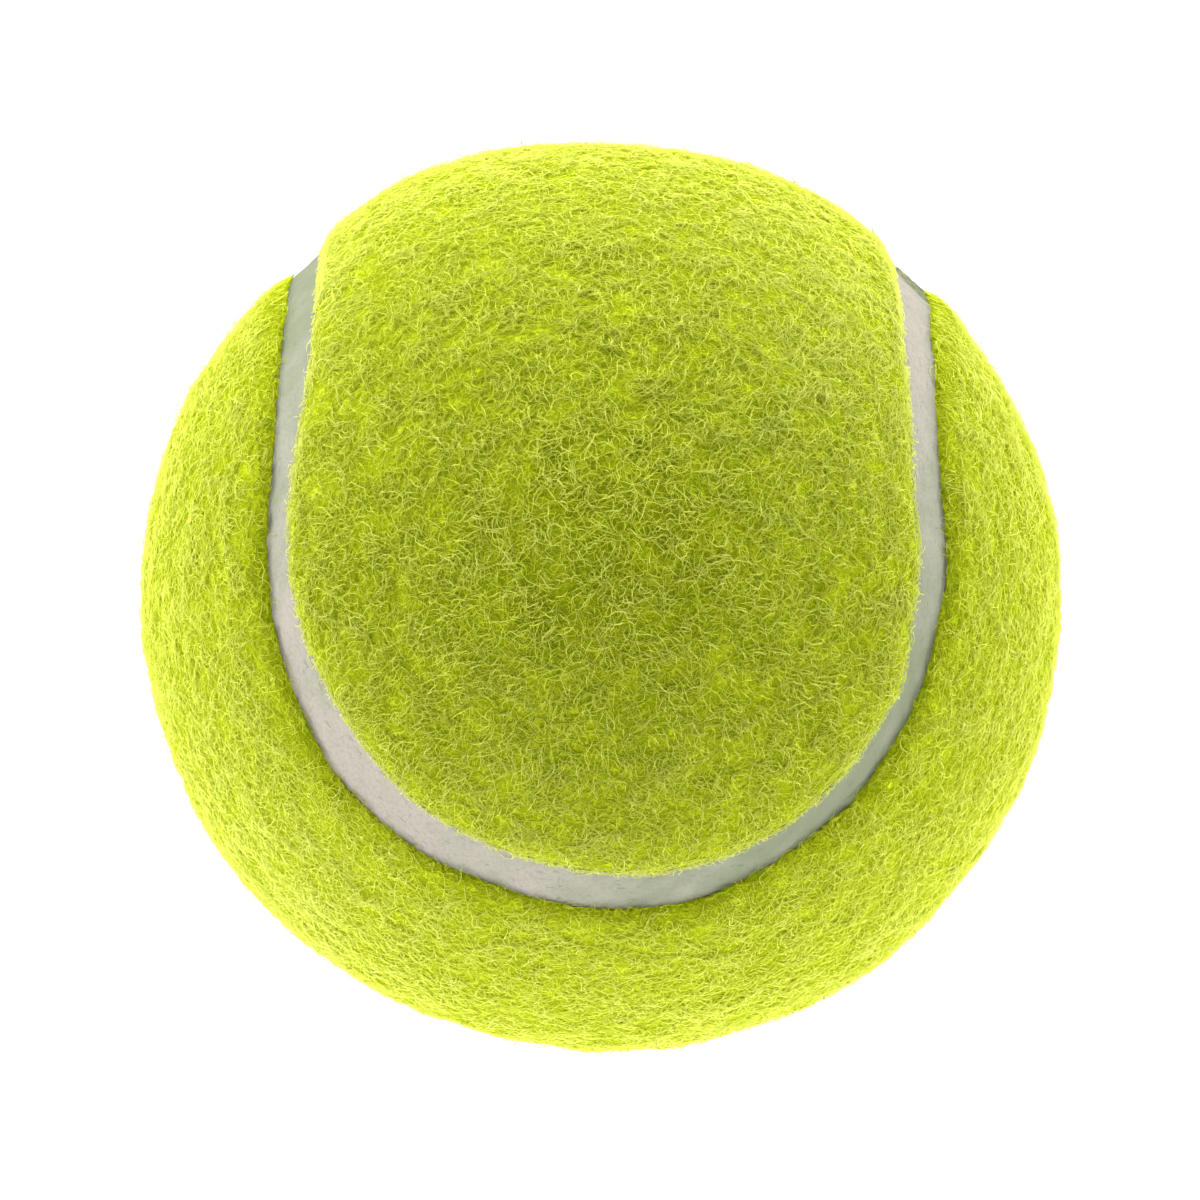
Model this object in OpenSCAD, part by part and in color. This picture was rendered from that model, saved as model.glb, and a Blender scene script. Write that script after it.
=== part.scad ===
// Tennis ball, built from the inside out: two moulded rubber half-shells cemented rim to rim into a
// hollow core, a coat of rubber cement, two dog-bone felt panels, and the rubber seam between them.
//
// The seam follows four circular arcs on the sphere. Each arc runs round the lobe at one end of a panel,
// and neighbouring arcs pass a hair apart at a crossing point on the equator of the seam pattern, where
// the lobe of one panel gives way to the waist of the other. Both panels are the same shape: one is the
// other after half a turn about the level line through two opposite crossing points.
//
// Millimetres, +Z up, origin at the centre of the ball, which rests on a surface below it.

/* [Core] */
// Outside diameter of the rubber core
core_d = 60; // [57:0.1:62]
// Wall of the rubber core
core_wall = 3.5; // [2.5:0.1:5]
// Width of the buffed bevel round the outside of each rim
rim_bevel = 0.6; // [0.2:0.1:1.2]
// Thickness of the cement between the two rims
joint_t = 0.3; // [0.1:0.05:0.6]
// Radius of the bead of cement squeezed out inside the core
bead_r = 0.7; // [0.4:0.1:1.2]

/* [Felt] */
// Thickness of the rubber cement that holds the felt
cement_t = 0.3; // [0.1:0.05:0.6]
// Thickness of the felt, nap included
felt_t = 3.2; // [2.8:0.1:4]

/* [Seam] */
// Width of the seam between the cut edges of the felt
seam_w = 2.8; // [1.6:0.1:4]
// Depth of the seam under the top of the felt
seam_sink = 1.4; // [0.6:0.1:2]
// Angle at which the rounded shoulders beside the seam run into the outside of the felt
shoulder_meet = 20; // [10:5:40]
// Angle by which the centre of each lobe lies past the equator of the pattern
lobe_drop = 2.5; // [0:0.5:8]

/* [Lie] */
// Angle of the seam pattern about the X axis, as the ball lies
lie_tilt = -20; // [-90:5:90]

/* [Hidden] */
$fn = 180;

// Radii of the layers
core_r = core_d / 2;
bore_r = core_r - core_wall;
cement_r = core_r + cement_t;
ball_r = cement_r + felt_t;
seam_r = ball_r - seam_sink;

// A size past the surface of the ball, for every cut that runs out of it
overrun = felt_t;
reach = ball_r + overrun;

// Shoulders of the felt, which start upright at the edge of the seam
shoulder_r = (pow(ball_r, 2) - pow(seam_r, 2)) / (2 * ball_r * cos(shoulder_meet));

// Seam arcs. Each arc's angular radius about the centre of its lobe, and half the angle across the seam.
// Neighbouring arcs would touch at the crossing points. Narrowed by arc_clear they pass a hair apart,
// and a step too small to see joins them on the equator
arc_clear = 0.03;
lobe_angle = acos(cos(lobe_drop) * cos(45)) - arc_clear;
half_gap = asin(seam_w / 2 / ball_r);

// Puts its children over both lobes of the first panel, Z out through the centre of the lobe
module at_own_lobes() {
    for (turn = [0, 180])
        rotate(turn)
            rotate([90 + lobe_drop, 0, 0])
                children();
}

// Turns what belongs to the first panel into its match on the second
module swap_panels() {
    rotate(180, [1, 1, 0])
        children();
}

// Half the section through the space over a lobe, out to edge_angle from its middle on Y. Its side is
// straight out from the centre of the ball, and it is cut off inside the core
module lobe_section(edge_angle) {
    foot = bore_r / 2;
    polygon([
        [0, foot],
        [0, reach],
        [reach * tan(edge_angle), reach],
        [foot * tan(edge_angle), foot]
    ]);
}

// What a shoulder takes off the edge of the felt, for an edge along Y and felt at +X
module shoulder_section() {
    lead = seam_w / 2;
    difference() {
        translate([-lead, seam_r])
            square([lead + shoulder_r, reach - seam_r]);
        translate([shoulder_r, seam_r])
            circle(shoulder_r);
    }
}

// The space that a lobe of the panel itself fills
module own_lobe(rounded) {
    edge_angle = lobe_angle - half_gap;
    rotate_extrude()
        difference() {
            lobe_section(edge_angle);
            if (rounded)
                rotate(-edge_angle)
                    mirror([1, 0])
                        shoulder_section();
        }
}

// The space that a panel leaves free for a lobe of the other panel and the seam round it
module other_lobe(rounded) {
    edge_angle = lobe_angle + half_gap;
    rotate_extrude() {
        lobe_section(edge_angle);
        if (rounded)
            rotate(-edge_angle)
                shoulder_section();
    }
}

// All that lies under the equator of the pattern
module lower_half() {
    translate([-reach, -reach, -reach])
        cube([2 * reach, 2 * reach, reach]);
}

// The first panel between two radii. Over the equator it is the waist, all that the lobes of the
// second panel leave free. Under the equator it is its own two lobes
module panel_layer(inner_r, outer_r, rounded = false) {
    difference() {
        sphere(outer_r);
        sphere(inner_r);
        swap_panels()
            at_own_lobes()
                other_lobe(rounded);
        difference() {
            lower_half();
            at_own_lobes()
                own_lobe(rounded);
        }
    }
}

// The seam fills the gap that both panels leave
module seam() {
    difference() {
        sphere(seam_r);
        sphere(core_r);
        panel_layer(bore_r, reach);
        swap_panels()
            panel_layer(bore_r, reach);
    }
}

// The seam pattern as the ball lies
module lie() {
    rotate([lie_tilt, 0, 0])
        children();
}

// Section of the core's wall, x away from the axis and y along it
module wall_section() {
    difference() {
        circle(core_r);
        circle(bore_r);
        translate([-reach, -reach])
            square([reach, 2 * reach]);
    }
}

// Section of the space that the joint's cement fills: the gap between the rims and both bevels
module joint_section() {
    half_t = joint_t / 2;
    translate([0, -half_t])
        square([reach, joint_t]);
    polygon([
        [core_r - rim_bevel, half_t],
        [core_r - rim_bevel, -half_t],
        [core_r + overrun, -half_t - rim_bevel - overrun],
        [core_r + overrun, half_t + rim_bevel + overrun]
    ]);
}

module core_half() {
    rotate_extrude()
        difference() {
            wall_section();
            joint_section();
            translate([0, -reach])
                square([reach, reach]);
        }
}

module core_half_upper() {
    color("#4a4a4c")
        core_half();
}

module core_half_lower() {
    color("#4a4a4c")
        mirror([0, 0, 1])
            core_half();
}

module core_joint_cement() {
    color("#6b6459")
        rotate_extrude() {
            intersection() {
                wall_section();
                joint_section();
            }
            intersection() {
                translate([bore_r, 0])
                    circle(bead_r);
                circle(bore_r);
            }
        }
}

module panel_cement_a() {
    color("#8f887a")
        lie()
            panel_layer(core_r, cement_r);
}

module panel_cement_b() {
    color("#8f887a")
        lie()
            swap_panels()
                panel_layer(core_r, cement_r);
}

module felt_panel_a() {
    color("#c9dc3c")
        lie()
            panel_layer(cement_r, ball_r, rounded = true);
}

module felt_panel_b() {
    color("#c9dc3c")
        lie()
            swap_panels()
                panel_layer(cement_r, ball_r, rounded = true);
}

module seam_band() {
    color("#aeb09e")
        lie()
            seam();
}

core_half_upper();
core_half_lower();
core_joint_cement();
panel_cement_a();
panel_cement_b();
felt_panel_a();
felt_panel_b();
seam_band();
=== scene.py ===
"""Tennis ball on a pale floor. Each felt panel is an uneven body of felt under a nap of curled fibres, and a
dished band of rubber fills the seam between the two panels.

Lengths are in millimetres until a mesh is written. Directions are unit vectors from the middle of the ball, in
the row frame. Image angles run clockwise from the right, as the camera sees the ball. Side 1 is the first felt
panel, whose lobe faces the camera, and side -1 is the second.
"""
import math

import bmesh
import bpy
import numpy as np
from mathutils import Matrix


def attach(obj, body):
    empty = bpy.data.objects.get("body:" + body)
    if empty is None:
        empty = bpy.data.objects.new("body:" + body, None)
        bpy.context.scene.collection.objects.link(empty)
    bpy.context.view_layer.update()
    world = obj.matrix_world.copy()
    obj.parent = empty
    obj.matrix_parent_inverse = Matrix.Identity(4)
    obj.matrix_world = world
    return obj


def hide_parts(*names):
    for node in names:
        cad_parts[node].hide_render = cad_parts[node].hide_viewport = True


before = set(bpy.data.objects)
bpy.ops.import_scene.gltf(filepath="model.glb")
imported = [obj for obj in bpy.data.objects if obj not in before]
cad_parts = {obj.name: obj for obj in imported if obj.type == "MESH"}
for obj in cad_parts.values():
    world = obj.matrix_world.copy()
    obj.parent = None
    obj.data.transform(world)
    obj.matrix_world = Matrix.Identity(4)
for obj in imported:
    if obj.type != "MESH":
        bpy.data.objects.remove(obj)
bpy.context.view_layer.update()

MM = 0.001
FULL_TURN = 2 * math.pi

# The ball, as in the CAD source
BALL_R, CEMENT_R, CORE_R = 33.5, 30.3, 30.0
SEAM_W, LOBE_DROP, ARC_CLEAR, LIE_TILT = 2.8, 2.5, 0.03, -20
DROP, TILT = math.radians(LOBE_DROP), math.radians(LIE_TILT)
ARC = math.acos(math.cos(DROP) * math.cos(math.radians(45))) - math.radians(ARC_CLEAR)

# The photograph's camera
TO_CAMERA = np.array([-0.0206, -0.9794, 0.2008])
CAMERA_RIGHT = np.array([0.9997, -0.0180, 0.0145])
CAMERA_UP = np.cross(TO_CAMERA, CAMERA_RIGHT)
CAMERA_AWAY, LENS, SENSOR = 478.4, 195.5, 36.0
BALL_IN_IMAGE = (0.6, 3.1)  # pixels right of and above the middle of the 1200 pixel image
PIXELS_PER_MM = 13.62


def unit(v):
    return v / np.linalg.norm(v, axis=-1, keepdims=True)


def in_image(degrees):
    """The direction on the ball's outline at that image angle."""
    a = math.radians(degrees)
    return CAMERA_RIGHT * math.cos(a) - CAMERA_UP * math.sin(a)


# ---- Seam pattern ----

# Takes the pattern's own frame to the row frame
LIE = np.array([[1, 0, 0], [0, math.cos(TILT), -math.sin(TILT)], [0, math.sin(TILT), math.cos(TILT)]])
# Middles of each panel's two lobes, in the pattern's own frame
LOBES_A = np.array([[0, -math.cos(DROP), -math.sin(DROP)], [0, math.cos(DROP), -math.sin(DROP)]])
LOBES_B = LOBES_A[:, [1, 0, 2]] * [1, 1, -1]


def seam_offset(directions):
    """Distance along the ball's surface from the middle of the seam, above 0 on the first panel."""
    p = directions @ LIE
    to_a = np.arccos(np.clip(np.max(p @ LOBES_A.T, axis=-1), -1, 1))
    to_b = np.arccos(np.clip(np.max(p @ LOBES_B.T, axis=-1), -1, 1))
    return np.where(p[..., 2] > 0, to_b - ARC, ARC - to_a) * BALL_R


# ---- Random fields over the ball ----

def waves(seed, wavelength, count=28):
    """A smooth field of about that wavelength, with mean 0 and deviation 1, as a function of points."""
    rng = np.random.default_rng(seed)
    k = unit(rng.normal(size=(count, 3))) * rng.uniform(0.7, 1.4, (count, 1)) * FULL_TURN / wavelength
    phase = rng.uniform(0, FULL_TURN, count)

    def field(points):
        flat = points.reshape(-1, 3)
        out = np.zeros(len(flat))
        for ki, pi in zip(k, phase):
            out += np.sin(flat @ ki + pi)
        return (out * math.sqrt(2 / count)).reshape(points.shape[:-1])

    return field


def place(directions, middle, spread):
    """1 at the direction in the middle, falling to 0 round it."""
    return np.exp(-((1 - directions @ middle) / spread))


swell_wide, clumps, tufts = waves(3, 26), waves(5, 5.0), waves(7, 2.2)
edge_waves, edge_nicks = waves(17, 6.0), waves(18, 1.5)
thickets, locks, swirl_x, swirl_y = waves(9, 3.0), waves(19, 1.8), waves(15, 4.5), waves(16, 4.5)
seam_waves, seam_dents = waves(11, 9.0), waves(13, 1.6)


# ---- Shape of the felt ----

SEAM_TOP = 32.4  # radius of the rubber, a little more than in the CAD, as the photograph shows it
NAP_H = 0.45  # how much of the felt's height is loose nap
EDGES_BACK = 0.07  # how far each cut edge stands back from the CAD's
EDGE_H, EDGE_WIDTH = 0.10, 0.5  # the steep part of each cut edge
SHOULDER_WIDTH, SHOULDER_CURVE = 1.8, 2.2  # how far in the felt rounds down to its edge, and how sharply
ROUGH_FROM = 1.4  # how far inside its edge the felt has its full unevenness
SWELL_H, CLUMP_H, TUFT_H = 0.10, 0.06, 0.02
EDGE_WAVE, EDGE_NICK = 0.04, 0.02

# Places on the outline where the felt stands out or lies low: image angle and height
HIGH_AND_LOW = [
    (175, 0.2), (140, 0.3), (200, 0.2), (222, -0.35), (242, 0.35),
    (272, -0.25), (350, 0.4), (25, 0.5), (55, 0.65), (105, -0.6),
]
HIGH_SPREAD = 0.035

# How much further from the middle of the front lobe the felt's edges lie than in the CAD, on the camera's side:
# image angle, the lobe's own edge, and the second panel's edge across the seam
EDGES_MOVED = np.array([
    (-44, -0.5, 1.4), (-38, -0.7, 0), (-32, -0.6, -0.15), (-22, -0.75, -0.55), (-5, -0.5, -0.15),
    (5, -0.7, -0.6), (16, 0.25, -0.45), (28, 0.1, -0.5), (40, 0.15, 0), (55, 0.2, -0.2), (70, 0.1, 0.45),
    (85, -0.25, 0.4), (100, -0.65, -0.1), (115, -0.8, -0.1), (130, -0.7, 0.15), (148, -0.95, 0.05),
    (160, -0.9, -0.35), (172, -0.4, -0.35), (184, 0.1, -0.2), (196, 0.6, 0), (208, 0, -0.2), (220, -0.7, -0.1),
]).T


def swell(directions):
    """The felt's slow unevenness."""
    out = SWELL_H * swell_wide(directions * BALL_R)
    for degrees, height in HIGH_AND_LOW:
        out += height * place(directions, in_image(degrees), HIGH_SPREAD)
    return out


def half_gap(directions, side):
    """How far the uneven edge of that side's panel lies from the seam's middle line."""
    p = directions * BALL_R
    even = SEAM_W / 2 + EDGES_BACK + EDGE_WAVE * edge_waves(p) + EDGE_NICK * edge_nicks(p)
    degrees = np.degrees(np.arctan2(-(directions @ CAMERA_UP), directions @ CAMERA_RIGHT))
    degrees = (degrees + 90) % 360 - 90
    angles, lobe_edge, outer_edge = EDGES_MOVED
    further_out = np.interp(degrees, angles, lobe_edge if side > 0 else outer_edge)
    in_front = np.clip(directions @ TO_CAMERA * 5 + 0.5, 0, 1)
    return even - side * further_out * in_front


def from_edge(directions, side):
    """How far inside the edge of that side's panel a direction lies."""
    return side * seam_offset(directions) - half_gap(directions, side)


def edge_profile(inside):
    """Radius of smooth felt so far inside its edge: a short steep edge, then a broad round shoulder."""
    edge = np.sqrt(1 - (1 - np.clip(inside / EDGE_WIDTH, 0, 1)) ** 2)
    shoulder = 1 - (1 - np.clip(inside / SHOULDER_WIDTH, 0, 1)) ** SHOULDER_CURVE
    return SEAM_TOP + EDGE_H * edge + (BALL_R - SEAM_TOP - EDGE_H) * shoulder


def felt_radius(directions, inside):
    """Radius of the body of the felt, without its loose nap, so far inside its edge."""
    rough = np.clip(inside / ROUGH_FROM, 0, 1)
    p = directions * BALL_R
    uneven = swell(directions) + CLUMP_H * clumps(p) + TUFT_H * tufts(p)
    return edge_profile(inside) + rough * (uneven - NAP_H)


# ---- Meshes ----

def new_object(name, vertices, faces_by_size, material, smooth=True):
    """A mesh object from vertices in millimetres and face arrays, one array for each number of corners."""
    me = bpy.data.meshes.new(name)
    me.vertices.add(len(vertices))
    me.vertices.foreach_set("co", (vertices * MM).astype(np.float32).ravel())
    loops = np.concatenate([f.ravel() for f in faces_by_size])
    sizes = np.concatenate([np.full(len(f), f.shape[1]) for f in faces_by_size])
    me.loops.add(len(loops))
    me.loops.foreach_set("vertex_index", loops.astype(np.int32))
    me.polygons.add(len(sizes))
    starts = np.concatenate([[0], np.cumsum(sizes)[:-1]])
    me.polygons.foreach_set("loop_start", starts.astype(np.int32))
    me.polygons.foreach_set("use_smooth", np.full(len(sizes), smooth))
    me.update(calc_edges=True)
    me.validate()
    me.materials.append(material)
    ob = bpy.data.objects.new(name, me)
    bpy.context.scene.collection.objects.link(ob)
    return ob


def add_values(me, name, kind, values):
    """Gives each vertex its value or vector of a named attribute."""
    key = "vector" if kind == "FLOAT_VECTOR" else "value"
    me.attributes.new(name, kind, "POINT").data.foreach_set(key, values.astype(np.float32).ravel())


def sphere_mesh(finer_within=(4.0, 3.2)):
    """Unit directions and triangles, split once for each of those distances from the seam."""
    bm = bmesh.new()
    bmesh.ops.create_icosphere(bm, subdivisions=7, radius=1.0)
    for near in finer_within:
        bm.verts.ensure_lookup_table()
        d = unit(np.array([v.co[:] for v in bm.verts]))
        close = np.abs(seam_offset(d)) < near
        edges = [e for e in bm.edges if close[e.verts[0].index] and close[e.verts[1].index]]
        bmesh.ops.subdivide_edges(bm, edges=edges, cuts=1, use_grid_fill=True)
        bmesh.ops.triangulate(bm, faces=[f for f in bm.faces if len(f.verts) > 3])
        bm.verts.index_update()
    directions = unit(np.array([v.co[:] for v in bm.verts]))
    triangles = np.array([[v.index for v in f.verts] for f in bm.faces])
    bm.free()
    return directions, triangles


def clipped(directions, triangles, value):
    """The part of a triangle mesh where value is above 0, cut exactly at 0."""
    inside = value > 0
    count = inside[triangles].sum(1)
    made, extra = {}, []

    def cut(i, j):
        key = (min(i, j), max(i, j))
        if key not in made:
            t = value[i] / (value[i] - value[j])
            made[key] = len(directions) + len(extra)
            extra.append(directions[i] * (1 - t) + directions[j] * t)
        return made[key]

    at_edge = []
    for tri in triangles[(count == 1) | (count == 2)]:
        while not (inside[tri[0]] and not inside[tri[2]]):
            tri = tri[[1, 2, 0]]
        a, b, c = tri
        if inside[b]:
            q, r = cut(b, c), cut(a, c)
            at_edge += [[a, b, q], [a, q, r]]
        else:
            at_edge.append([a, cut(a, b), cut(a, c)])
    everything = np.concatenate([directions, unit(np.array(extra))])
    faces = np.concatenate([triangles[count == 3], np.array(at_edge)])
    used, faces = np.unique(faces, return_inverse=True)
    return everything[used], faces.reshape(-1, 3)


def rim_edges(faces):
    """The edges that one face uses, in that face's own direction."""
    e = np.concatenate([faces[:, [0, 1]], faces[:, [1, 2]], faces[:, [2, 0]]])
    known = set(map(tuple, e.tolist()))
    return np.array([x for x in e.tolist() if (x[1], x[0]) not in known])


def felt_body(name, sphere, side, material):
    """One felt panel as a closed solid: its uneven outside, its inside on the cement, and the cut edge."""
    directions, triangles = sphere
    directions, faces = clipped(directions, triangles, from_edge(directions, side))
    outer = directions * felt_radius(directions, from_edge(directions, side))[:, None]
    inner = directions * CEMENT_R
    n = len(directions)
    rim = rim_edges(faces)
    walls = np.stack([rim[:, 1], rim[:, 0], rim[:, 0] + n, rim[:, 1] + n], 1)
    both = np.concatenate([faces, faces[:, ::-1] + n])
    return new_object(name, np.concatenate([outer, inner]), [both, walls], material)


# ---- Nap ----

FIBRES_A_PANEL, RIM_HAIRS = 60000, 3600
RINGS = 6  # rings of vertices along a fibre
NAP_PIECES = 11  # pieces that each panel's nap is split into, for the export's limit on faces
FEWEST, THICKET_EDGE = 0.6, 1.5  # least share of roots between thickets, and how sharply thickets begin
RIM_FROM, RIM_TO = 0.05, 0.6  # how far inside the edge the hairs of the rim stand

LENGTH, LENGTH_SPREAD, SHORTEST, LONGEST, RIM_LENGTH = 1.8, 0.35, 0.7, 4.0, 0.55
THINNEST, THICKEST = 0.017, 0.031  # radius of a fibre
TAPER = ([0, 0.3, 0.8, 1], [0.7, 1.0, 0.8, 0.3])  # share of that radius along the fibre
BEND_SHAPE, BEND_SIZE = 2.5, 0.34  # radians a millimetre, from a gamma distribution
CRIMP, CRIMP_TURNS = (0.2, 0.8), (0.7, 1.5)
COMBED_SHARE, COMBED_SPREAD, OUTWARDS_SPREAD = 0.55, 0.6, 1.0

# How far fibres reach over the seam, and the few that lie right across it
REACH_OVER, RIM_REACH_OVER = 0.14, 0.16
STRAY_SHARE, STRAY_REACH = 0.006, 2.2

# How high fibres rise over the body of the felt, and how their tops droop at its edge
ROOT_DEPTH, WOBBLE = 0.10, 0.05
TOP, TOP_SHAPE = 0.42, (1.8, 1.9)  # most fibres, from a beta distribution
LOOSE_SHARE, LOOSE_TOP = 0.05, (0.3, 0.75)
PEAK = (0.35, 0.8)  # where along a fibre its top is
LOCK_SHARE, LOCK_MOST = 0.25, 1.5  # how much locks of fibres rise and sink together
LIP, DROOP = 0.35, 0.3  # past the lip a fibre's line droops over the edge
FULL_FROM, LEAST_RISE = 1.6, 0.3

# Tone of a fibre, from 0, dark, to 1, pale
TONE, TONE_SPREAD = 0.30, 0.07
BRIGHT_SHARE, BRIGHT_MORE = 0.03, 0.15
# Places where the nap is paler, partly its own paleness and partly painted light where the ball is more brightly
# lit: image angle, share of the ball's radius from the middle, how much paler
PALE = [(-45, 0.75, 0.18), (138, 0.9, 0.14), (-90, 0.9, 0.05), (100, 0.4, 0.08)]
PALE_SPREAD = 0.06
# How much paler or darker the nap is along the edge of each side's panel, and how far in: painted light on the
# first panel's rounded shoulder, and painted shade on the second's, where its shoulder turns from the light
EDGE_LIGHT_AND_SHADE = {1: (0.14, 2.6), -1: (-0.35, 0.9)}


def pale(directions):
    """How much paler the nap is in places, partly as painted light."""
    out = np.zeros(directions.shape[:-1])
    for degrees, share, more in PALE:
        middle = in_image(degrees) * share + TO_CAMERA * math.sqrt(1 - share**2)
        out += more * place(directions, middle, PALE_SPREAD)
    return out


def frame_at(directions):
    """Two unit vectors along the surface at each direction."""
    helper = np.where(np.abs(directions[..., 2:]) < 0.9, [0.0, 0, 1], [1.0, 0, 0])
    e1 = unit(np.cross(helper, directions))
    return e1, np.cross(directions, e1)


def slope_from_edge(directions, side):
    """Distance inside the edge, two unit vectors along the surface, and how fast it grows along them."""
    inside = from_edge(directions, side)
    e1, e2 = frame_at(directions)
    step = 0.002
    slope = [(from_edge(unit(directions + e * step), side) - inside) / (step * BALL_R) for e in (e1, e2)]
    return inside, e1, e2, slope


def keep_off_seam(directions, side, reach_over):
    """Folds back directions that lie further over the seam than their fibre reaches."""
    for _ in range(2):
        inside, e1, e2, slope = slope_from_edge(directions, side)
        short = 1.7 * np.maximum(-reach_over - inside, 0) / BALL_R
        directions = unit(directions + (e1 * slope[0][..., None] + e2 * slope[1][..., None]) * short[..., None])
    return directions


def fibre_roots(side, rng):
    """Where one panel's fibres stand, in order round the ball, and which of them are hairs on its rim."""
    roots = unit(rng.normal(size=(FIBRES_A_PANEL * 4, 3)))
    inside = from_edge(roots, side)
    density = FEWEST + (1 - FEWEST) / (1 + np.exp(-THICKET_EDGE * thickets(roots * BALL_R)))
    kept = rng.random(len(roots)) < density
    spread = roots[kept & (inside > 0)][:FIBRES_A_PANEL]
    more = unit(rng.normal(size=(RIM_HAIRS * 100, 3)))
    inside = from_edge(more, side)
    rim = more[(inside > RIM_FROM) & (inside < RIM_TO)][:RIM_HAIRS]
    roots = np.concatenate([spread, rim])
    on_rim = np.arange(len(roots)) >= len(spread)
    order = np.argsort((roots @ LIE)[:, 1 if side > 0 else 0])
    return roots[order], on_rim[order]


def fibre_headings(roots, on_rim, length, outwards, t, rng):
    """Which way a fibre runs at each of its points. Some are combed in swirls, and the rim's hairs point out."""
    n = len(roots)
    bend = (rng.choice([-1, 1], n) * rng.gamma(BEND_SHAPE, BEND_SIZE, n))[:, None]
    crimp = rng.uniform(*CRIMP, n)[:, None]
    crimp_turns = rng.uniform(*CRIMP_TURNS, n)[:, None]
    p = roots * BALL_R
    combed = np.arctan2(swirl_y(p), swirl_x(p)) + rng.normal(0, COMBED_SPREAD, n)
    first = np.where(rng.random(n) < COMBED_SHARE, combed, rng.uniform(0, FULL_TURN, n))
    first = np.where(on_rim, outwards + rng.normal(0, OUTWARDS_SPREAD, n), first)
    wave = np.sin(FULL_TURN * (crimp_turns * t + rng.random(n)[:, None]))
    return first[:, None] + bend * length[:, None] * t + crimp * wave


def fibre_heights(roots, loose, t, rng):
    """Height of a fibre over the body of the felt at each of its points."""
    n = len(roots)
    top = np.where(loose, rng.uniform(*LOOSE_TOP, n), rng.beta(*TOP_SHAPE, n) * TOP)
    top = (top * (1 + LOCK_SHARE * np.clip(locks(roots * BALL_R), -LOCK_MOST, LOCK_MOST)))[:, None]
    peak = rng.uniform(*PEAK, n)[:, None]
    up = np.sin(0.5 * math.pi * t / peak)
    down = np.cos(0.5 * math.pi * (t - peak) / (1.25 - peak))
    wobble = WOBBLE * np.sin(FULL_TURN * (rng.uniform(1, 3, n)[:, None] * t + rng.random(n)[:, None]))
    return -ROOT_DEPTH + (top + ROOT_DEPTH) * np.where(t < peak, up, down) + wobble


def felt_normals(directions, inside, e1, e2, slope, before=0.3, beyond=0.5):
    """The normal of smooth felt, whose shoulder rounds down to its edge."""
    near = np.maximum(inside - before, before)
    fall = (edge_profile(inside + beyond) - edge_profile(near))[:, None] / (before + beyond)
    return unit(directions - (e1 * slope[0][:, None] + e2 * slope[1][:, None]) * fall)


def fibre_lines(side, seed):
    """Centre lines of one panel's fibres as directions and heights over the felt, with each fibre's thickness
    and tone, and the normal of the felt under it."""
    rng = np.random.default_rng(seed)
    roots, on_rim = fibre_roots(side, rng)
    n = len(roots)
    t = np.linspace(0, 1, RINGS)
    loose = (rng.random(n) < LOOSE_SHARE) & ~on_rim
    length = np.clip(rng.lognormal(math.log(LENGTH), LENGTH_SPREAD, n), SHORTEST, LONGEST)
    length[on_rim] *= RIM_LENGTH
    inside, e1, e2, slope = slope_from_edge(roots, side)
    heading = fibre_headings(roots, on_rim, length, np.arctan2(-slope[1], -slope[0]), t, rng)
    step = (length / (RINGS - 1))[:, None]
    x, y = (np.cumsum(part, 1) * step for part in (np.cos(heading), np.sin(heading)))
    x, y = x - x[:, :1], y - y[:, :1]
    directions = unit(roots[:, None] * BALL_R + e1[:, None] * x[..., None] + e2[:, None] * y[..., None])
    reach_over = rng.exponential(REACH_OVER, n) + on_rim * rng.exponential(RIM_REACH_OVER, n)
    reach_over[rng.random(n) < STRAY_SHARE] = STRAY_REACH
    directions = keep_off_seam(directions, side, reach_over[:, None])
    height = fibre_heights(roots, loose, t, rng)
    thick = rng.uniform(THINNEST, THICKEST, n)
    tone = rng.normal(TONE, TONE_SPREAD, n) + BRIGHT_MORE * (rng.random(n) < BRIGHT_SHARE) + pale(roots)
    # Painted light on the first panel's shoulder and painted shade on the second's, beside the seam
    edge_light_and_shade, edge_reach = EDGE_LIGHT_AND_SHADE[side]
    tone = np.clip(tone + edge_light_and_shade * np.exp(-((inside / edge_reach) ** 2)), 0, 1)
    return directions, height, thick, tone, felt_normals(roots, inside, e1, e2, slope)


def fibre_points(directions, height, side):
    """The centre lines in space. A fibre lies flatter near the edge, and droops past it."""
    inside = from_edge(directions, side)
    over = np.clip(LIP - inside, 0, None)
    body = felt_radius(directions, np.maximum(inside, LIP))
    near = np.clip(inside / FULL_FROM, LEAST_RISE, 1)
    return directions * (body + height * near - DROOP * over)[..., None]


def nap(name, points, height, thick, tone, normals, material):
    """Three-sided tapered closed tubes along the fibres' centre lines."""
    n, rings = points.shape[:2]
    along = unit(np.gradient(points, axis=1))
    side = unit(np.cross(along, unit(points)) + 1e-9)
    up = np.cross(side, along)
    radius = (thick[:, None] * np.interp(np.linspace(0, 1, rings), *TAPER))[..., None]
    corners = (0, FULL_TURN / 3, 2 * FULL_TURN / 3)
    corner = [points + radius * (math.cos(a) * up + math.sin(a) * side) for a in corners]
    vertices = np.stack(corner, 2).reshape(-1, 3)
    base = (np.arange(n) * rings * 3)[:, None, None]
    k = (np.arange(rings - 1) * 3)[None, :, None]
    j = np.arange(3)[None, None, :]
    a, b = base + k + j, base + k + (j + 1) % 3
    sides = np.stack([a, b, b + 3, a + 3], -1).reshape(-1, 4)
    first = base[:, 0] + np.array([[2, 1, 0]])
    last = base[:, 0] + (rings - 1) * 3 + np.array([[0, 1, 2]])
    ob = new_object(name, vertices, [sides, np.concatenate([first, last])], material)
    add_values(ob.data, "fibre_tone", "FLOAT", np.repeat(tone, rings * 3))
    add_values(ob.data, "fibre_height", "FLOAT", np.repeat(height.ravel(), 3))
    add_values(ob.data, "felt_normal", "FLOAT_VECTOR", np.repeat(normals, rings * 3, axis=0))
    write_cells(ob.data, n, rings)
    return ob


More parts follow.
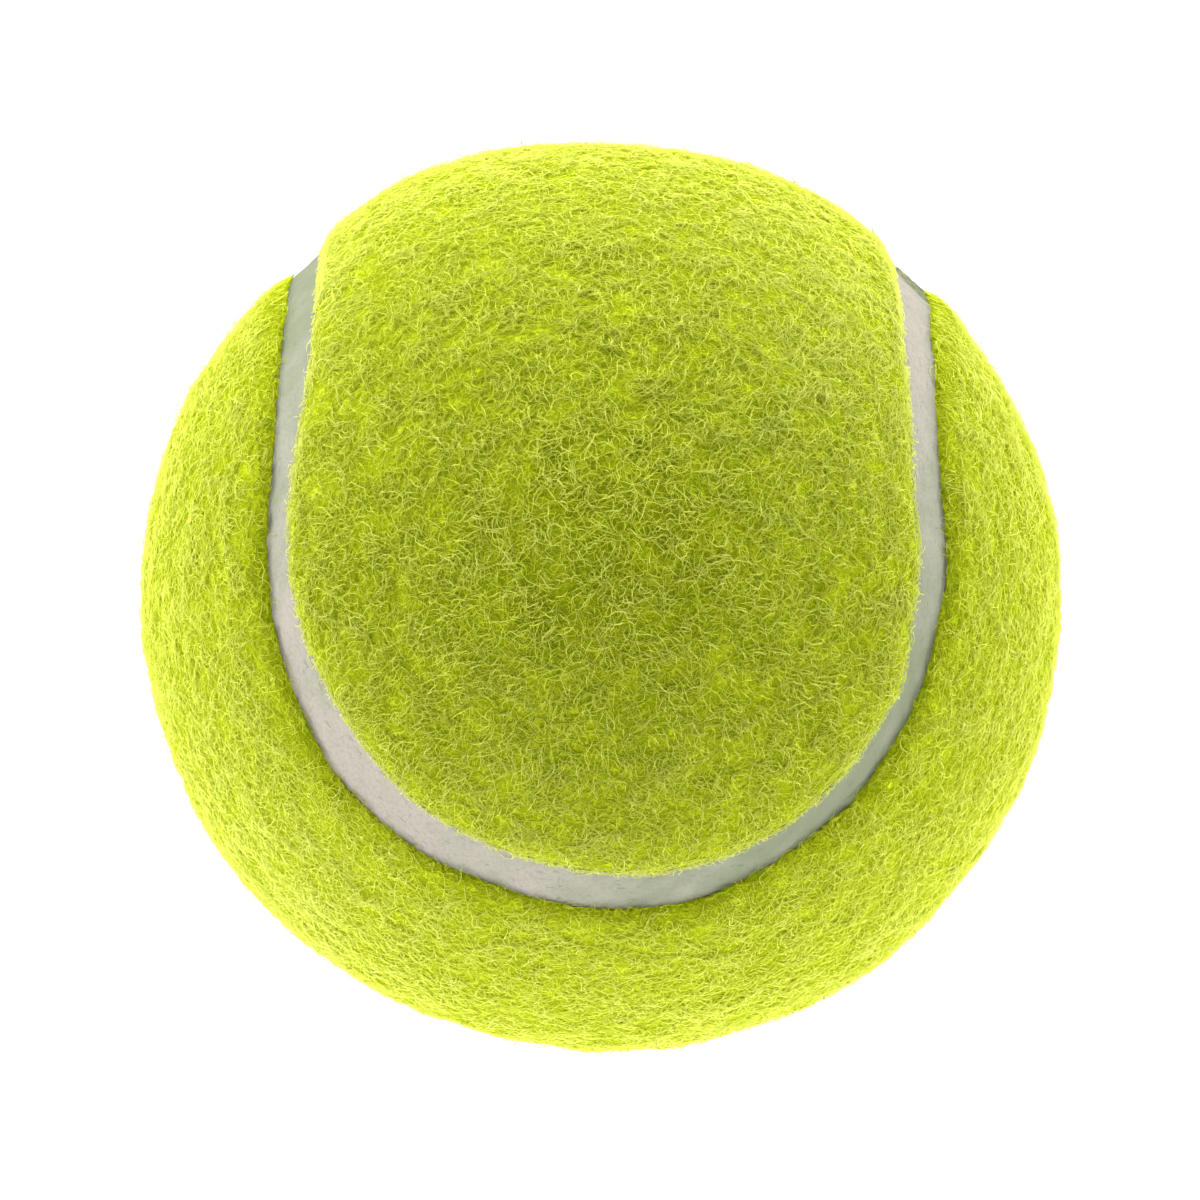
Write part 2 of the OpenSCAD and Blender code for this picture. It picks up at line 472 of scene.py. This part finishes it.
def write_cells(me, n, rings):
    """A map named OFBake: a square cell for each fibre, its length across, its sides up."""
    grid = math.ceil(math.sqrt(n))
    cell = np.stack([np.arange(n) % grid, np.arange(n) // grid], -1) / grid
    u = np.linspace(0.2, 0.9, rings)
    v = np.linspace(0.1, 0.9, 4)
    k, j = np.meshgrid(np.arange(rings - 1), np.arange(3), indexing="ij")
    corners = ((k, j), (k, j + 1), (k + 1, j + 1), (k + 1, j))
    quad = np.stack([np.stack([u[a], v[b]], -1) for a, b in corners], 2)
    quads = (cell[:, None, None, None] + quad[None] / grid).reshape(-1, 2)
    low = np.array([[0.02, 0.1], [0.15, 0.1], [0.02, 0.4]])
    high = np.array([[0.02, 0.6], [0.15, 0.6], [0.02, 0.9]])
    caps = [(cell[:, None] + cap / grid).reshape(-1, 2) for cap in (low, high)]
    layer = me.uv_layers.new(name="OFBake")
    layer.data.foreach_set("uv", np.concatenate([quads, *caps]).astype(np.float32).ravel())


# ---- Seam ----

SEAM_STEPS, SEAM_POINTS = 260, 17  # steps along each of its four arcs, and points across it
SEAM_TUCK = 0.05  # how far the seam reaches under the edges of the felt
SEAM_CLIMB, SEAM_DISH = 0.03, 0.03  # how far it rises at its edges, and sinks in the middle
SEAM_WAVE, SEAM_DENT = 0.035, 0.022
# The dark rough mark at the upper right: image angle, how far it stands up, and over what share of the ball
MARK_AT, MARK_RISE, MARK_SPREAD = -44.5, 0.2, 0.0026


def seam_line():
    """The seam's middle line round the ball: directions, and the direction across it to the first panel."""
    lines, acrosses = [], []
    level = math.acos(math.cos(ARC) / math.cos(DROP))
    arcs = [(LOBES_A[0], 1), (LOBES_B[1], -1), (LOBES_A[1], 1), (LOBES_B[0], -1)]
    for axis, sign in arcs:
        out = np.array([axis[0], axis[1], 0]) / math.cos(DROP)
        across = np.cross([0, 0, 1], out)
        down = np.cross(axis, across)
        if down[2] * sign > 0:
            down = -down
        start = out * math.cos(level) - across * math.sin(level)
        a0 = math.atan2(start @ down, -(start @ across))
        a = np.linspace(a0, math.pi - a0, SEAM_STEPS, endpoint=False)[:, None]
        p = axis * math.cos(ARC) + math.sin(ARC) * (-np.cos(a) * across + np.sin(a) * down)
        lines.append(p)
        acrosses.append(sign * unit(axis - p * (p @ axis)[:, None]))
    return np.concatenate(lines) @ LIE.T, np.concatenate(acrosses) @ LIE.T


def seam_band(name, material):
    """The rubber seam: dished, with edges that climb the cut felt, and dents along it."""
    line, across = seam_line()
    half = {}
    for side in (1, -1):
        half[side] = half_gap(unit(line + across * (side * SEAM_W / 2 / BALL_R)), side) + SEAM_TUCK

    def beside(share):
        """Directions so far from the middle line, from -1 on the second panel's edge to 1 on the first's."""
        return unit(line + across * (share * half[1 if share > 0 else -1] / BALL_R)[:, None])

    shares = np.linspace(-1, 1, SEAM_POINTS)
    top = []
    for share in shares:
        d = beside(share)
        p = d * BALL_R
        lift = SEAM_CLIMB * share**4 - SEAM_DISH * (1 - share * share)
        lift += MARK_RISE * place(d, in_image(MARK_AT), MARK_SPREAD) * (1 + 0.3 * seam_dents(p))
        top.append(d * (SEAM_TOP + lift + SEAM_WAVE * seam_waves(p) + SEAM_DENT * seam_dents(p))[:, None])
    foot = [beside(share) * CORE_R for share in (1, -1)]
    rings = np.stack(top + foot, 1)
    n, m = rings.shape[:2]
    i, j = np.meshgrid(np.arange(n), np.arange(m), indexing="ij")
    ni, nj = (i + 1) % n, (j + 1) % m
    faces = np.stack([i * m + j, i * m + nj, ni * m + nj, ni * m + j], -1).reshape(-1, 4)
    ob = new_object(name, rings.reshape(-1, 3), [faces], material)
    step = np.linalg.norm(np.roll(line, -1, axis=0) - line, axis=1) * BALL_R
    add_values(ob.data, "along", "FLOAT", np.repeat(np.cumsum(step), m))
    add_values(ob.data, "across", "FLOAT", np.tile(np.concatenate([shares, [1, -1]]) * SEAM_W / 2, n))
    return ob


# ---- Materials ----

class Nodes:
    """Short calls for building one material's nodes, or the world's."""

    def __init__(self, name=None, world=None):
        self.material = world or bpy.data.materials.new(name)
        self.material.use_nodes = True
        self.tree = self.material.node_tree
        self.shader = self.tree.nodes["Background" if world else "Principled BSDF"]

    def add(self, kind, **values):
        """A node with its sockets and settings of those names set."""
        node = self.tree.nodes.new(kind)
        for key, value in values.items():
            if key in node.inputs:
                node.inputs[key].default_value = value
            else:
                setattr(node, key, value)
        return node

    def link(self, output, socket):
        self.tree.links.new(output, socket)

    def feed(self, socket, value):
        """Links another node's output to the socket, or sets the socket to a number or a colour."""
        if isinstance(value, bpy.types.NodeSocket):
            self.link(value, socket)
        else:
            socket.default_value = (*value, 1) if isinstance(value, tuple) else value

    def set(self, **values):
        """Sets the shader's own sockets."""
        for key, value in values.items():
            self.shader.inputs[key.replace("_", " ")].default_value = value

    def colour(self, output):
        self.link(output, self.shader.inputs["Base Color"])

    def place(self):
        return self.add("ShaderNodeTexCoord").outputs["Object"]

    def attribute(self, name):
        return self.add("ShaderNodeAttribute", attribute_name=name).outputs["Fac"]

    def maths(self, how, a, b=0.0):
        node = self.add("ShaderNodeMath", operation=how)
        for socket, value in zip(node.inputs, (a, b)):
            self.feed(socket, value)
        return node.outputs[0]

    def mix(self, share, a, b):
        node = self.add("ShaderNodeMix", data_type="RGBA")
        for index, value in ((0, share), (6, a), (7, b)):
            self.feed(node.inputs[index], value)
        return node.outputs[2]

    def ramp(self, value, stops):
        """A colour that changes with the value, from one stop to the next."""
        node = self.add("ShaderNodeValToRGB")
        band = node.color_ramp
        while len(band.elements) < len(stops):
            band.elements.new(0.5)
        for element, (at, colour) in zip(band.elements, stops):
            element.position, element.color = at, (*colour, 1)
        self.link(value, node.inputs["Fac"])
        return node.outputs["Color"]

    def between(self, value, low, high, at_low, at_high):
        """A smooth step from at_low, where value is low, to at_high, where it is high."""
        node = self.add("ShaderNodeMapRange", interpolation_type="SMOOTHSTEP")
        for name, x in (("From Min", low), ("From Max", high), ("To Min", at_low), ("To Max", at_high)):
            node.inputs[name].default_value = x
        self.link(value, node.inputs["Value"])
        return node.outputs["Result"]

    def noise(self, size_mm, detail=2.0, rough=0.5):
        """Noise of about that size, from 0 to 1."""
        node = self.add("ShaderNodeTexNoise", Detail=detail, Roughness=rough)
        node.inputs["Scale"].default_value = 1 / (size_mm * MM)
        self.link(self.place(), node.inputs["Vector"])
        return node.outputs["Fac"]

    def curls(self, size_mm, width=0.045):
        """Thin curly lines, 1 on the line and 0 off it: the places where a noise passes its middle."""
        off = self.maths("ABSOLUTE", self.maths("SUBTRACT", self.noise(size_mm, 1, 0.4), 0.5))
        return self.between(off, 0.0, width, 1.0, 0.0)

    def streaks(self, along, across, above):
        """Marks on the seam, 1 on a mark, from noise that changes so many times a millimetre each way."""
        combine = self.add("ShaderNodeCombineXYZ")
        self.link(self.maths("MULTIPLY", self.attribute("along"), along), combine.inputs[0])
        self.link(self.maths("MULTIPLY", self.attribute("across"), across), combine.inputs[1])
        noise = self.add("ShaderNodeTexNoise", Scale=1.0, Detail=2.0)
        self.link(combine.outputs[0], noise.inputs["Vector"])
        return self.between(noise.outputs["Fac"], above, above + 0.06, 0.0, 1.0)

    def bump(self, height, distance_mm):
        node = self.add("ShaderNodeBump", Strength=1.0)
        node.inputs["Distance"].default_value = distance_mm * MM
        self.link(height, node.inputs["Height"])
        self.link(node.outputs["Normal"], self.shader.inputs["Normal"])

    def soften(self, name, share):
        """Turns the shading normal by that share from the mesh's own to the one that the attribute holds."""
        turn = self.add(
            "ShaderNodeVectorTransform", vector_type="NORMAL", convert_from="OBJECT", convert_to="WORLD"
        )
        held = self.add("ShaderNodeAttribute", attribute_name=name)
        self.link(held.outputs["Vector"], turn.inputs[0])
        blend = self.add("ShaderNodeMix", data_type="VECTOR")
        blend.inputs[0].default_value = share
        self.link(self.add("ShaderNodeNewGeometry").outputs["Normal"], blend.inputs[4])
        self.link(turn.outputs[0], blend.inputs[5])
        unit_length = self.add("ShaderNodeVectorMath", operation="NORMALIZE")
        self.link(blend.outputs[1], unit_length.inputs[0])
        self.link(unit_length.outputs[0], self.shader.inputs["Normal"])


def linear(r, g, b):
    """An sRGB colour of 0 to 255 as linear light."""
    shares = [c / 255 for c in (r, g, b)]
    return tuple(s / 12.92 if s <= 0.04045 else ((s + 0.055) / 1.055) ** 2.4 for s in shares)


def felt_material():
    """The dense felt under the nap, with matted strands over darker patches, darker than the nap's fibres partly
    as its own colour and partly as painted shade deep in the nap.
    """
    m = Nodes("felt_body")
    strands = m.maths("MAXIMUM", m.curls(0.55), m.maths("MAXIMUM", m.curls(0.8), m.curls(0.38)))
    # Patch and strand colours darker than the nap's, partly painted shade deep in the nap
    patch = m.ramp(m.noise(2.6, 2), [(0.35, linear(148, 164, 2)), (0.7, linear(130, 146, 0))])
    m.colour(m.mix(strands, patch, linear(180, 194, 30)))
    m.set(Roughness=0.95, Specular_IOR_Level=0.1)
    m.bump(strands, 0.06)
    return m.material


def nap_material(patchy=0.30, softness=0.65):
    """The fibres, darker low in the nap as painted shade and paler at its top as painted sheen, from each
    fibre's tone, its height and the patch it is in.
    """
    m = Nodes("felt_nap")
    patch = m.maths("SUBTRACT", m.noise(2.4, 2), 0.5)
    value = m.maths("ADD", m.attribute("fibre_tone"), m.maths("MULTIPLY", patch, patchy))
    # Colour by height over the felt: dark low in the nap as painted shade, pale at the top as painted sheen
    m.colour(m.ramp(m.maths("ADD", value, m.attribute("fibre_height")), [
        (0.05, linear(150, 166, 2)),
        (0.30, linear(191, 205, 24)),
        (0.45, linear(215, 227, 66)),
        (0.60, linear(228, 238, 92)),
        (0.78, linear(232, 241, 106)),
        (0.95, linear(235, 243, 116)),
    ]))
    m.set(Roughness=0.9, Specular_IOR_Level=0.1)
    m.soften("felt_normal", softness)
    return m.material


def seam_material():
    """Worn rubber with fine scratches and specks, and the dark mottled mark."""
    m = Nodes("seam_rubber")
    cloud, grain = m.noise(4.0, 2), m.noise(0.25, 3, 0.6)

    # Paler and pinker low on the left and high on the right, and darker and greener elsewhere
    tint_across, tint_rise = 14.0, 1200.0
    aside = m.add("ShaderNodeSeparateXYZ")
    m.link(m.place(), aside.inputs[0])
    turn = m.maths("SUBTRACT", tint_across, m.maths("MULTIPLY", aside.outputs["Z"], tint_rise))
    where = m.maths("MULTIPLY", aside.outputs["X"], turn)
    tint = m.ramp(m.maths("ADD", where, cloud), [
        (0.2, linear(154, 148, 138)), (0.5, linear(139, 140, 124)), (0.85, linear(118, 124, 100)),
    ])

    scratches = m.maths("ADD", m.streaks(0.9, 5.0, 0.64), m.streaks(4.0, 0.6, 0.70))
    worn = m.mix(m.maths("MULTIPLY", scratches, 0.3), tint, linear(92, 96, 78))
    specks = m.ramp(grain, [(0.3, (0.35, 0.35, 0.35)), (0.55, (0, 0, 0))])
    rubber = m.mix(specks, worn, linear(106, 108, 92))

    # The mark's middle lies a little to the camera's side of the outline
    mark_forward, mark_from, mark_to, mark_ragged, mark_share = 0.08, 0.0044, 0.0054, 0.002, 0.9
    mark = m.add("ShaderNodeVectorMath", operation="DISTANCE")
    m.link(m.place(), mark.inputs[0])
    mark.inputs[1].default_value = tuple((in_image(MARK_AT) + TO_CAMERA * mark_forward) * SEAM_TOP * MM)
    ragged = m.maths("ADD", mark.outputs["Value"], m.maths("MULTIPLY", cloud, mark_ragged))
    marked = m.between(ragged, mark_from, mark_to, mark_share, 0.0)
    # The mark's dark mottled colour
    mark_mottle = m.ramp(m.noise(0.45, 2), [(0.42, linear(66, 74, 40)), (0.58, linear(122, 128, 92))])
    m.colour(m.mix(marked, rubber, mark_mottle))

    rough = m.ramp(grain, [(0.2, (0.7, 0.7, 0.7)), (0.8, (0.85, 0.85, 0.85))])
    m.link(rough, m.shader.inputs["Roughness"])
    m.set(Specular_IOR_Level=0.2)
    m.bump(m.maths("SUBTRACT", grain, m.maths("MULTIPLY", scratches, 0.6)), 0.04)
    return m.material


def inside_material(name, dark, light, size_mm):
    """Rubber and cement under the felt."""
    m = Nodes(name)
    m.colour(m.ramp(m.noise(size_mm, 4), [(0.3, dark), (0.7, light)]))
    m.set(Roughness=0.8, Specular_IOR_Level=0.3)
    m.bump(m.noise(size_mm / 4, 3), 0.05)
    return m.material


def floor_material():
    """A pale table lit from below, most of all in a strip under the ball, from left to right."""
    under_ball, far_off, strip_half = 2.75, 1.3, 0.25
    m = Nodes("pale_floor")
    m.set(Roughness=0.9, Specular_IOR_Level=0.0, Base_Color=(0.05, 0.05, 0.05, 1), Emission_Color=(1, 1, 1, 1))
    at = m.add("ShaderNodeSeparateXYZ")
    m.link(m.place(), at.inputs[0])
    strip = m.between(m.maths("ABSOLUTE", at.outputs["Y"]), 0.0, strip_half, under_ball, far_off)
    m.link(strip, m.shader.inputs["Emission Strength"])
    return m.material


# ---- Studio ----

RING_LIGHT, RING_WIDTH, SURROUND = 18.4, 0.20, 0.08
RING_FORWARD = 0.083  # how far the ring stands towards the camera from the middle of the ball
RING_LEAN = (-0.15, 0.0, 0.15)  # how the ring grows brighter to the left and the top
FLOOR_HALF = 1500.0


def studio():
    camera = bpy.data.objects.new("camera", bpy.data.cameras.new("camera"))
    bpy.context.scene.collection.objects.link(camera)
    camera.data.lens, camera.data.sensor_width = LENS, SENSOR
    camera.data.clip_start, camera.data.clip_end = 0.01, 50
    back = unit(TO_CAMERA)
    right = unit(CAMERA_RIGHT - back * (CAMERA_RIGHT @ back))
    up = np.cross(back, right)
    aim = -(right * BALL_IN_IMAGE[0] + up * BALL_IN_IMAGE[1]) / PIXELS_PER_MM
    stand = (aim + back * CAMERA_AWAY) * MM
    camera.matrix_world = Matrix([[right[i], up[i], back[i], stand[i]] for i in range(3)] + [[0, 0, 0, 1]])
    bpy.context.scene.camera = camera
    bpy.context.scene.view_settings.view_transform = "Standard"

    signs = ((-1, -1), (1, -1), (1, 1), (-1, 1))
    corners = np.array([[x * FLOOR_HALF, y * FLOOR_HALF, -BALL_R] for x, y in signs])
    floor = new_object("floor", corners, [np.array([[0, 1, 2, 3]])], floor_material(), smooth=False)

    bpy.context.scene.world = bpy.data.worlds.new("studio")
    studio_light(bpy.context.scene.world)


def studio_light(world):
    """Soft light from a wide ring round the ball, square to the photograph's view, over a dim surround."""
    m = Nodes(world=world)
    towards = m.add("ShaderNodeTexCoord").outputs["Generated"]

    def along(direction):
        node = m.add("ShaderNodeVectorMath", operation="DOT_PRODUCT")
        node.inputs[1].default_value = tuple(direction)
        m.link(towards, node.inputs[0])
        return node.outputs["Value"]

    off_ring = m.maths("ABSOLUTE", m.maths("SUBTRACT", along(TO_CAMERA), RING_FORWARD))
    ring = m.between(off_ring, 0.0, RING_WIDTH, RING_LIGHT, 0.0)
    lean = m.maths("ADD", along(RING_LEAN), 1.0)
    m.link(m.maths("ADD", m.maths("MULTIPLY", ring, lean), SURROUND), m.shader.inputs["Strength"])
    m.set(Color=(1, 1, 1, 1))


# ---- Pieces ----

def on_root(piece):
    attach(piece, "root")
    return piece


def felt_panel(letter, side, seed, sphere, felt, fur):
    """One panel's body of felt, and the pieces of its nap."""
    body = on_root(felt_body("felt_" + letter, sphere, side, felt))
    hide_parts("felt_panel_" + letter)
    directions, *looks = fibre_lines(side, seed)
    points = fibre_points(directions, looks[0], side)
    for i, rows in enumerate(np.array_split(np.arange(len(points)), NAP_PIECES)):
        piece = nap(f"nap_{letter}_{i + 1}", points[rows], *(x[rows] for x in looks), fur)
        on_root(piece)


def main():
    sphere = sphere_mesh()
    felt, fur = felt_material(), nap_material()
    felt_panel("a", 1, 21, sphere, felt, fur)
    felt_panel("b", -1, 22, sphere, felt, fur)
    seam = on_root(seam_band("seam", seam_material()))
    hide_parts("seam_band")
    core = inside_material("core_rubber", (0.03, 0.03, 0.032), (0.07, 0.07, 0.075), 1.5)
    glue = inside_material("cement", (0.10, 0.085, 0.06), (0.26, 0.23, 0.18), 2.0)
    for name in ("core_half_upper", "core_half_lower", "core_joint_cement", "panel_cement_a", "panel_cement_b"):
        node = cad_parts[name]
        node.data.materials.clear()
        node.data.materials.append(core if name.startswith("core_half") else glue)
    studio()


main()
